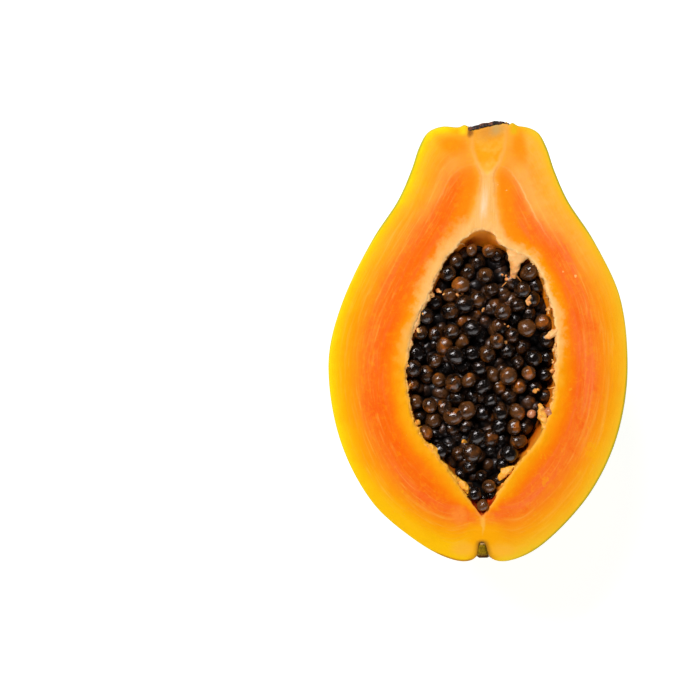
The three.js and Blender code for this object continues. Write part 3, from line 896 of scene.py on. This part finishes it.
def runTree(piece, tree, values):  # leaves the tree's result as a plain mesh
    modifier = piece.modifiers.new("tree", "NODES")
    modifier.node_group = tree
    for item in tree.interface.items_tree:
        if item.in_out == "INPUT" and item.name in values:
            modifier[item.identifier] = values[item.name]
    bpy.context.view_layer.update()
    graph = bpy.context.evaluated_depsgraph_get()
    made = bpy.data.meshes.new_from_object(piece.evaluated_get(graph))
    piece.modifiers.clear()
    piece.data = made


def seedMaterial():
    material, root, spot, (x, y, z) = newMaterial("seedCoat")
    tone = layer(root, "tone")
    sunkInShade = step(z * -1.0 + cutLevel, 4.0, 8.0)
    patch = grain(spot, 0.3, 3.0, 0.6)
    veins = grain(spot, 0.8, 4.0, 0.65, 0.8)
    # more brown towards the top of the heap: painted warm reflection of the orange flesh around it
    upwardWarmReflection = step(y - blossomY, 78.0, 104.0)
    brown = step(patch + tone * 0.45 + upwardWarmReflection * 0.12, 0.6, 1.05)
    colour = mix(brown, (9, 4, 2), (100, 59, 26))
    colour = mix(step(veins, 0.55, 0.72) * 0.5, colour, (50, 30, 15))
    amber = step(grain(spot, 0.22, 2.0, 0.5, 0.5), 0.54, 0.66) * step(tone, 0.4, 0.75)
    amber = amber * (0.45 + step(veins, 0.42, 0.6) * 0.55)
    colour = mix(amber * 0.8, colour, (180, 96, 22))
    # painted shade: seeds 4 to 8 mm below the cut face are darkened to near black, and they also lose coat
    # and grow rougher
    colour = mix(sunkInShade * 0.95, colour, (3, 1, 1))
    colour = mix(step(tone, 1.2, 1.6), colour, (198, 126, 84))
    rough = 0.08 + veins * 0.12 + sunkInShade * 0.5
    shine = {"Coat Weight": 0.55 - sunkInShade * 0.54, "Coat Roughness": 0.02}
    shine.update({"Specular IOR Level": 0.36, "Specular Tint": (0.98, 0.88, 0.9, 1.0)})
    finishMaterial(root, colour, rough, grain(spot, 0.45, 2.0) + veins * 0.4, 0.55, shine)
    return material


# painted shade: a near-black sheet under the seeds, so the gaps between them read as dark shade
def shadeBedMaterial():
    material, root, spot, (x, y, z) = newMaterial("paintedShadeBed")
    patch = grain(spot, 0.3, 3.0)
    colour = mix(step(patch, 0.5, 0.8), (4, 2, 2), (20, 9, 4))
    finishMaterial(root, colour, 0.6 + patch * 0.2, patch, 0.5, {"Specular IOR Level": 0.06})
    return material


def seedPiece(coat, shadeBed):
    upper = seedPlaces(heap["count"], heap["stream"])
    lower = seedPlaces(heap["lowerCount"], heap["lowerStream"])
    chance = np.random.default_rng(5)
    upper[:, 2] += chance.uniform(*heap["tumble"], len(upper)) * narrowing(upper[:, 1])
    lower[:, 2] -= heap["lowerDrop"]
    lower[:, 0] *= 0.95
    for rows in (upper, lower):
        rows[:, 0] = toRim(rows[:, 0], rows[:, 1])
    more = [(x, h, heapLevel(x, h), size, *chance.uniform(0, 6, 3)) for x, h, size in heap["extra"]]
    upper = np.vstack([upper[upper[:, 1] < heap["bare"]], more])
    settle(upper)
    upper[:, 2] -= heap["sink"] * narrowing(upper[:, 1])
    unripe = [(*spot, *chance.uniform(0, 6, 3)) for spot in heap["unripe"]]
    rows = np.vstack([upper, lower, unripe])
    spots = rows[:, :3]
    piece = newObject("seedHeap", spots, [], [])
    store(piece, "size", rows[:, 3] * mm)
    store(piece, "turn", rows[:, 4:7], "FLOAT_VECTOR")
    store(piece, "tone", np.append(chance.random(len(rows) - len(unripe)), [2.0] * len(unripe)))
    runTree(piece, scatterTree("seedTree", coat, seedForm), seedForm)
    attach(piece, "seeds", "seeds")

    # the near-black sheet under the heap paints the shade between the seeds
    stationsAlong = np.linspace(0, 1, 90)
    sides = [atShares(side, stationsAlong) for side in hollowSides]
    around = np.linspace(-math.pi, math.pi, 49)
    share = (1 + np.cos(around)) / 2
    half = np.maximum(np.linalg.norm(sides[1] - sides[0], axis=1) / 2 - heap["shadeBedInset"], 0)
    flat = sides[0][:, None] * (1 - share)[:, None] + sides[1][:, None] * share[:, None]
    depth = half[:, None] * np.sin(around)
    top = heapLevel(flat[..., 0] - heap["shift"], flat[..., 1]) - heap["shadeBedSink"] * narrowing(flat[..., 1])
    top -= 3 * (1 - smoothStep(flat[..., 1], 17, 25))
    grid = np.concatenate([flat, np.minimum(depth, top)[..., None]], axis=-1)
    spots, faces, _ = weld(grid.reshape(-1, 3), gridFaces(*grid.shape[:2]))
    attach(newObject("seedShadeBed", spots, [f for f in faces if f], [shadeBed]), "seeds")
    print("seeds:", len(rows))


# Pulp: torn lining along the hollow's rim, lumps, strands, soft ridges and the flap at the upper right

pulp = {
    "fringeSteps": 1500, "fringe": 0.3, "fringeLong": 1.0, "fringeShort": 0.55, "fringeMost": 3.6,
    "fringeWide": [  # [first x, last x, low height, high height, more width]
        [2, 30, 27, 57, -0.8], [10, 30, 62, 82, 0.8], [-30, 0, 22, 41, 0.9], [-30, 0, 76, 97, 0.8],
        [-6, 9, 106, 124, -1.2], [-4, 8, 8, 30, -0.9],
    ],
    "leftCount": 12, "rightCount": 10, "random": 77,
    "inward": (-0.5, 0.4), "below": (1.0, 2.6), "size": (0.35, 0.75),
    "lumps": [  # [x, height, depth, size] of the larger ones and of those between the seeds
        [-24.4, 68.2, 1.4, 0.7], [-24.4, 61.8, 1.4, 0.7], [-20.8, 49, 1.5, 0.9], [-16.4, 92.6, 1.5, 1],
        [-18.8, 87.6, 1.6, 0.9], [-20.8, 80.9, 1.5, 0.9], [25.1, 87.3, 1.8, 1], [26.9, 74.5, 1.5, 1.1],
        [26.4, 70.4, 1.8, 1], [26.2, 66.4, 1.7, 1],
        [-4.9, 41.8, 3.2, 0.8], [-5.6, 93, 3.8, 1.2], [2.4, 88.3, 3.6, 0.9], [-13.3, 94.3, 2.8, 1.1],
        [9.8, 82.3, 4, 1.2], [11.1, 76.3, 4, 1.1], [-6.6, 49.5, 3.8, 1.1], [20.5, 59.5, 3.4, 1],
        [17.8, 91, 3.6, 1.1], [10.4, 99.7, 3.2, 1.3],
    ],
    "perLump": 3,
    "strands": 12, "strandLength": (1.2, 3.2), "strandRadius": 0.24,
    "ridges": [  # [x, height, z, radius] along each soft ridge
        [[21.6, 55, -2.2, 0.5], [22, 54, -1.7, 0.9], [22.6, 52.4, -1.6, 1.2], [22.9, 50.6, -1.7, 1.5],
         [23.4, 48.6, -1.7, 1.4], [23.6, 46.4, -1.7, 1.2], [23, 44, -2, 0.8]],
        [[22.8, 42, -2, 0.5], [21.4, 40.2, -1.7, 1.1], [19.2, 38.2, -1.7, 1.2], [16.8, 35.8, -1.7, 1],
         [14.6, 34, -2, 0.5]],
        [[13, 33, -1.4, 0.7], [11, 31.9, -1.5, 1.2], [9.4, 31, -1.7, 1.5], [8.2, 29.8, -2.1, 1.3],
         [7.6, 28.8, -2.6, 0.8]],
        [[-7.6, 29, -1.6, 0.6], [-5.8, 27.2, -1.7, 1.2], [-4.2, 25.4, -1.8, 1.3], [-2.8, 23.6, -2.2, 0.7]],
        [[-19, 41.4, -1, 0.6], [-16.8, 40.2, -1, 1.2], [-15.3, 38.9, -1.1, 1.4], [-14.2, 37, -1.3, 1.1],
         [-13.4, 35.4, -1.7, 0.4]],
        [[28, 81, -1, 0.5], [26.2, 79.8, -1.2, 1.2], [24.9, 78.7, -1.7, 0.9], [23.8, 78, -2.4, 0.35]],
    ],
    "flap": [  # [left x, left height, right x, right height, depth, half thickness] from the rim to the tip
        [8.2, 113, 20.4, 107.6, -1.5, 1], [9.6, 110.4, 17.8, 106.2, -1.4, 1.1],
        [10.4, 107.5, 15.9, 104.8, -1.6, 1.1], [11, 104.6, 14.8, 103, -2, 1.1],
        [11.3, 102.2, 14.4, 101.2, -2.7, 1], [11.6, 100, 13.6, 99.4, -3.5, 0.7],
        [12, 97.8, 12.8, 97.6, -4.3, 0.3],
    ],
    "flapStrands": [[13.4, 100.4, 16, 97.6], [12, 99.6, 8.8, 96.4]],
}
pulpForm = {
    "Length": 1.5, "Width": 1.05, "Thickness": 0.95, "Wrinkle": 2.4, "Random": 3, "lumps": 1.7,
    "shapes": [(1, 1, 1), (1.3, 0.8, 0.9), (0.8, 1.1, 0.8), (1.1, 0.7, 1.2)],
}


def pulpMaterial():
    material, root, spot, (x, y, z) = newMaterial("palePulp")
    patch = grain(spot, 0.4, 3.0, 0.6)
    upper = step(y - blossomY + (patch - 0.5) * 30.0, 40.0, 80.0)
    pale = mix(upper, (253, 178, 54), (251, 190, 118))
    # painted shade: pulp lying deeper below the cut face is a darker orange
    deepShade = step(z * -1.0 + cutLevel + patch * 2.0, 1.2, 5.0)
    colour = mix(step(patch, 0.45, 0.7) * 0.5, pale, (248, 158, 50))
    colour = mix(deepShade * 0.6, colour, (216, 112, 26))
    rough = 0.36 + (patch - 0.5) * 0.2
    soft = {"Specular IOR Level": 0.35, "Subsurface Weight": 0.2, "Subsurface Scale": 0.0012}
    finishMaterial(root, colour, rough, grain(spot, 1.6, 3.0), 0.2, soft)
    return material


def rimSpots(side, shares):  # points on the rim with the directions along it and into the hollow
    line = hollowSides[side]
    here = atShares(line, shares)
    ahead = atShares(line, np.minimum(shares + 0.004, 1)) - atShares(line, np.maximum(shares - 0.004, 0))
    ahead /= np.linalg.norm(ahead, axis=1)[:, None]
    inward = np.stack([ahead[:, 1], -ahead[:, 0]], axis=1) * (1 if side == 0 else -1)
    return here, ahead, inward


def tube(name, paths, material, corners=3):  # tapered strands as one plain mesh
    curve = bpy.data.curves.new(name, "CURVE")
    curve.dimensions = "3D"
    curve.bevel_depth = mm
    curve.bevel_resolution = corners
    curve.use_fill_caps = True
    curve.materials.append(material)
    for path in paths:
        spline = curve.splines.new("POLY")
        spline.points.add(len(path) - 1)
        for point, (x, height, z, radius) in zip(spline.points, path):
            point.co = (*inFrame((x, height, z)), 1)
            point.radius = radius
    drawn = bpy.data.objects.new(name + "Curve", curve)
    bpy.context.collection.objects.link(drawn)
    bpy.context.view_layer.update()
    mesh = bpy.data.meshes.new_from_object(drawn.evaluated_get(bpy.context.evaluated_depsgraph_get()))
    bpy.data.objects.remove(drawn)
    bpy.data.curves.remove(curve)
    mesh.name = name
    piece = bpy.data.objects.new(name, mesh)
    bpy.context.collection.objects.link(piece)
    mesh.polygons.foreach_set("use_smooth", [True] * len(mesh.polygons))
    return piece


def fringePiece(material):  # torn lining all along the rim
    shares = lengths(stations())
    left, right = (atShares(side, shares / shares[-1]) for side in hollowSides)
    loop = np.vstack([left, right[::-1]])
    rag = stray(np.column_stack([loop, np.zeros(len(loop))]))
    run = lengths(loop)
    wanted = np.linspace(0, run[-1], pulp["fringeSteps"], endpoint=False)
    here = np.stack([np.interp(wanted, run, column) for column in loop.T], axis=1)
    rag = np.stack([np.interp(wanted, run, column) for column in rag.T], axis=1)
    rag *= calm(here[:, 1:])
    ahead = np.roll(here, -2, axis=0) - np.roll(here, 2, axis=0)
    ahead /= np.linalg.norm(ahead, axis=1)[:, None]
    inward = np.stack([ahead[:, 1], -ahead[:, 0]], axis=1)
    flat = np.column_stack([here, np.zeros(len(here))])
    long, short, tear = wobble(flat, 4.2, 41), wobble(flat, 1.3, 42), wobble(flat, 0.55, 43)
    width = pulp["fringe"] + pulp["fringeLong"] * long[:, 0] + pulp["fringeShort"] * short[:, 0]
    width += 0.2 * np.abs(tear[:, 0]) * (1 + np.maximum(long[:, 1], 0))
    for firstX, lastX, low, high, more in pulp["fringeWide"]:
        within = smoothStep(here[:, 1], low, low + 6) * (1 - smoothStep(here[:, 1], high - 6, high))
        width += more * within * ((here[:, 0] > firstX) & (here[:, 0] < lastX)) * (0.6 + 0.8 * long[:, 2])
    width = np.clip(width, 0.06, pulp["fringeMost"])
    sag = 0.5 * short[:, 1] + 0.25 * tear[:, 1]
    section = (  # [into the hollow, share of the width, level, slope]
        (-0.9, 0, -1.1, 0), (-0.1, 0, -0.46, 0), (0, 0.35, -0.44, -0.1), (0, 0.75, -0.65, -0.25),
        (0, 1, -1.05, -0.4), (0, 0.6, -1.7, -0.4), (-0.6, 0, -2.8, 0),
    )
    rows = []
    for fixed, share, level, slope in section:
        spots = here + inward * (fixed + share * width)[:, None]
        rows.append(np.column_stack([spots, level + slope * width + sag * share]) + hollow["ragged"] * rag)
    grid = np.stack(rows, axis=1)
    grid = np.concatenate([grid, grid[:1]])
    grid = np.concatenate([grid, grid[:, :1]], axis=1)
    spots, faces, _ = weld(grid.reshape(-1, 3), gridFaces(*grid.shape[:2]))
    spots = spots + 0.12 * wobble(spots, 0.9, 44)
    attach(newObject("rimFringe", spots, [f for f in faces if f], [material]), "flesh")


def pulpPieces(material):
    chance = np.random.default_rng(pulp["random"])
    spots, turns, sizes, strands = [], [], [], []
    for side, count in ((0, pulp["leftCount"]), (1, pulp["rightCount"])):
        here, ahead, inward = rimSpots(side, np.sort(chance.uniform(0.02, 0.97, count)))
        flat = here + inward * chance.uniform(*pulp["inward"], (count, 1))
        spots.append(np.column_stack([flat, -chance.uniform(*pulp["below"], count)]))
        sizes.append(chance.uniform(*pulp["size"], count))
        turns.append(np.column_stack([
            chance.uniform(0, 6, count),
            chance.uniform(-0.5, 0.5, count),
            np.arctan2(ahead[:, 1], ahead[:, 0]),
        ]))
        count = pulp["strands"] // 2
        here, ahead, inward = rimSpots(side, chance.uniform(0.05, 0.95, count))
        for start, along, into in zip(here, ahead, inward):
            long = chance.uniform(*pulp["strandLength"])
            heading = into + along * chance.uniform(-0.8, 0.8)
            depth = chance.uniform(0.8, 2)
            bend = chance.uniform(-0.6, 0.6)
            steps = np.linspace(0, 1, 6)
            strands.append([
                (*(start - into * 0.4 + heading * long * t + along * bend * math.sin(3 * t)),
                 -depth - long * 0.55 * t * t, pulp["strandRadius"] * (1.7 - 1.5 * t))
                for t in steps
            ])
    large = np.repeat(np.array(pulp["lumps"]), pulp["perLump"], axis=0)
    apart = chance.normal(0, 0.55, (len(large), 3)) * large[:, 3:]
    spots.append(large[:, :3] * (1, 1, -1) + apart)
    sizes.append(large[:, 3] * chance.uniform(0.35, 0.8, len(large)))
    turns.append(chance.uniform(0, 6, (len(large), 3)))
    piece = newObject("pulpLumps", np.vstack(spots), [], [])
    store(piece, "size", np.concatenate(sizes) * mm)
    store(piece, "turn", np.vstack(turns), "FLOAT_VECTOR")
    runTree(piece, scatterTree("pulpTree", material, pulpForm), pulpForm)
    attach(piece, "flesh")

    for x0, h0, x1, h1 in pulp["flapStrands"]:
        strands.append([
            (x0 + (x1 - x0) * t, h0 + (h1 - h0) * t, -3 - 1.6 * t, 0.32 - 0.16 * t)
            for t in np.linspace(0, 1, 5)
        ])
    attach(tube("seedStrands", strands, material), "flesh")
    ridges = tube("pulpRidges", [smoothCurve(path, 8) for path in pulp["ridges"]], material, 8)
    for vertex in ridges.data.vertices:
        vertex.co += noise.noise_vector(vertex.co / (1.7 * mm)) * 0.75 * mm
        vertex.co += noise.noise_vector(vertex.co / (0.7 * mm)) * 0.16 * mm
    attach(ridges, "flesh")

    rows = smoothCurve(pulp["flap"], 6)
    around = np.linspace(0, 2 * math.pi, 25)
    left, right = rows[:, 0:2], rows[:, 2:4]
    across = (left + right)[:, None] / 2 + (right - left)[:, None] / 2 * np.cos(around)[:, None]
    level = rows[:, 4:5] + rows[:, 5:6] * np.sin(around)
    grid = np.concatenate([across, level[..., None]], axis=-1)
    grid[[0, -1]] = grid[[0, -1]].mean(axis=1, keepdims=True)
    spots, faces, _ = weld(grid.reshape(-1, 3), gridFaces(*grid.shape[:2]))
    spots = spots + 0.5 * wobble(spots, 1.8, 51) + 0.15 * wobble(spots, 0.6, 52)
    attach(newObject("pulpFlap", spots, [f for f in faces if f], [material]), "flesh")
    print("pulp:", sum(map(len, sizes)), "lumps,", len(strands), "strands")


# Stem crust and flower remnant

def crustMaterial():
    material, root, spot, (x, y, z) = newMaterial("dryCrust")
    flakes = grain(spot, 0.8, 5.0, 0.7, 0.6)
    # the pale grey on raised flakes is a painted highlight; the near-black, reddish-brown and brown-pink are
    # the crust's own colours
    colour = mix(step(flakes, 0.54, 0.74), (26, 13, 10), (140, 118, 112))
    colour = mix(step(grain(spot, 0.5, 3.0), 0.52, 0.7) * 0.7, colour, (84, 38, 20))
    colour = mix(step(grain(spot, 0.42, 3.0, 0.6, 0.4), 0.5, 0.62) * 0.65, colour, (152, 94, 68))
    stemward = (x - crust["shift"]) * (x - crust["shift"]) + (z - cutLevel) * (z - cutLevel)
    inside = step(z * -1.0 + cutLevel, 0.8, 2.0) * (1 - step(stemward, 28.0, 44.0))
    colour = mix(inside * (0.9 - step(flakes, 0.5, 0.64) * 0.65), colour, (186, 126, 70))
    finishMaterial(root, colour, 0.6 + (flakes - 0.5) * 0.3, flakes, 0.6, {"Specular IOR Level": 0.4})
    return material


def remnantMaterial():
    material, root, spot, (x, y, z) = newMaterial("dryFlower")
    flakes = grain(spot, 1.4, 4.0, 0.7)
    height = y - blossomY + (flakes - 0.5) * 1.6
    colour = mix(step(flakes, 0.35, 0.7), (112, 86, 2), (170, 134, 8))
    colour = mix((1 - step(height, 1.6, 3.2)) * 0.85, colour, (74, 34, 22))
    colour = mix(step(flakes, 0.56, 0.7) * (1 - step(height, 2.6, 3.4)) * 0.6, colour, (150, 116, 104))
    colour = mix(step(height, 5.6, 6.4) * 0.7, colour, (214, 166, 120))
    finishMaterial(root, colour, 0.8 + (flakes - 0.5) * 0.2, flakes, 0.35, {"Specular IOR Level": 0.1})
    return material


def crustPiece(material):
    turn = np.linspace(-math.pi, 0, crust["turns"] + 1)
    out = np.linspace(0, 1, crust["rings"] + 1)[:, None]
    layers = []
    for side, stream in (("under", 21), ("top", 23)):
        u, z = out * crust["radius"] * np.cos(turn), out * crust["radius"] * np.sin(turn)
        spots = np.stack([u.ravel(), z.ravel(), np.zeros(u.size)], axis=1)
        bump = 0.5 * wobble(spots, 2.0, stream)[:, 2] + 0.24 * wobble(spots, 0.7, stream + 1)[:, 2]
        v = np.interp(u, *np.array(crust[side]).T) + bump.reshape(u.shape)
        u = u + 0.25 * wobble(spots, 1.1, 27)[:, 0].reshape(u.shape)
        layers.append(np.stack([u, v, z], axis=-1))
    rows = np.concatenate([layers[0], layers[1][::-1]])
    cap = [np.stack([side[:, k] for side in layers], axis=0) for k in (0, -1)]
    points = np.concatenate([rows.reshape(-1, 3), *(c.reshape(-1, 3) for c in cap)])
    start = rows.shape[0] * rows.shape[1]
    size = cap[0].shape[0] * cap[0].shape[1]
    faces = np.concatenate([
        gridFaces(*rows.shape[:2]),
        gridFaces(*cap[0].shape[:2], start),
        gridFaces(*cap[1].shape[:2], start + size),
    ])
    spots, faces, _ = weld(points, faces)
    u, v, z = spots.T
    c, s = math.cos(crust["tilt"]), math.sin(crust["tilt"])
    turned = np.stack([u * c - v * s + crust["shift"], u * s + v * c + crust["level"], z + 0.15], axis=1)
    piece = newObject("stemCrust", turned, [f for f in faces if f], [material])
    piece.data.set_sharp_from_angle(angle=math.radians(60))
    attach(piece, "stem_crust", "stem_scar")
    print("stem crust:", len(piece.data.polygons), "faces")


remnant = {
    "outline": [  # [radius, height]
        [0, 1.4], [1.3, 1.3], [2, 1.6], [1.95, 2.3], [1.55, 3.9], [1.1, 5.4], [0.75, 6.3], [0, 6.6],
    ],
    "turns": 24,
}


def remnantPiece(material):
    profile = smoothCurve(remnant["outline"], 6)
    turn = np.linspace(-math.pi, 0, remnant["turns"] + 1)
    radius, height = profile.T
    grid = np.stack(np.broadcast_arrays(
        radius[:, None] * np.cos(turn), height[:, None], radius[:, None] * np.sin(turn)), axis=-1)
    cap = np.stack([grid[:, 0], grid[:, -1]], axis=1)
    points = np.concatenate([grid.reshape(-1, 3), cap.reshape(-1, 3)])
    start = grid.shape[0] * grid.shape[1]
    faces = np.concatenate([gridFaces(*grid.shape[:2]), gridFaces(*cap.shape[:2], start)])
    spots, faces, _ = weld(points, faces)
    spots = spots + 0.18 * wobble(spots, 0.9, 31)
    spots[:, 0] += lean(spots[:, 1])
    piece = newObject("flowerRemnant", spots, [f for f in faces if f], [material])
    attach(piece, "flower_remnant", "blossom_scar")
    print("flower remnant:", len(piece.data.polygons), "faces")


# Floor, light and camera

stage = {
    "floorSize": 8.0,
    "floor": (180, 180, 179), "floorGlow": 0.84,
    "sky": 0.07,
    "aim": (0, 0, 0.045),
    "lights": {  # place in m, power in W, size in m
        "key": ((-0.44, 0.62, 0.9), 15.2, (0.75, 0.3)),
        "front": ((0.25, -1.1, 0.44), 11.4, (2.2, 0.86)),
    },
    "pictureWidth": 245.0,  # mm of the cut face across the picture
    "pictureMiddle": (-44.8, 74.0),  # x and height at the picture's middle
    "lens": 100.0,
}


def floorPiece():
    material, root, spot, (x, y, z) = newMaterial("paleFloor")
    glow = {"Emission Color": (1, 1, 1, 1), "Emission Strength": stage["floorGlow"]}
    finishMaterial(root, srgb(stage["floor"]), 0.9, None, 0, {"Specular IOR Level": 0.1, **glow})
    half = stage["floorSize"] / 2
    mesh = bpy.data.meshes.new("floor")
    corners = [(-half, -half, 0), (half, -half, 0), (half, half, 0), (-half, half, 0)]
    mesh.from_pydata(corners, [], [(0, 1, 2, 3)])
    mesh.materials.append(material)
    floor = bpy.data.objects.new("floor", mesh)
    bpy.context.collection.objects.link(floor)


def areaLight(name, place, power, size):
    lamp = bpy.data.lights.new(name, "AREA")
    lamp.energy = power
    lamp.shape = "RECTANGLE"
    lamp.size, lamp.size_y = size
    holder = bpy.data.objects.new(name, lamp)
    holder.location = place
    holder.rotation_euler = (Vector(stage["aim"]) - Vector(place)).to_track_quat("-Z", "Y").to_euler()
    bpy.context.collection.objects.link(holder)


def lightAndCamera():
    world = bpy.data.worlds.new("studio")
    bpy.context.scene.world = world
    world.use_nodes = True
    world.node_tree.nodes["Background"].inputs["Color"].default_value = (1, 1, 1, 1)
    world.node_tree.nodes["Background"].inputs["Strength"].default_value = stage["sky"]
    for name, light in stage["lights"].items():
        areaLight(name, *light)
    camera = bpy.data.cameras.new("camera")
    camera.lens = stage["lens"]
    holder = bpy.data.objects.new("camera", camera)
    x, height = stage["pictureMiddle"]
    away = stage["pictureWidth"] * stage["lens"] / camera.sensor_width
    holder.location = inFrame((x, height, away))
    bpy.context.collection.objects.link(holder)
    bpy.context.scene.camera = holder
    bpy.context.scene.view_settings.view_transform = "Standard"
    print("camera and lights placed")


lightAndCamera()
floorPiece()
bodyPiece(rindMaterial(), fleshMaterial())
seedPiece(seedMaterial(), shadeBedMaterial())
palePulp = pulpMaterial()
fringePiece(palePulp)
pulpPieces(palePulp)
crustPiece(crustMaterial())
remnantPiece(remnantMaterial())
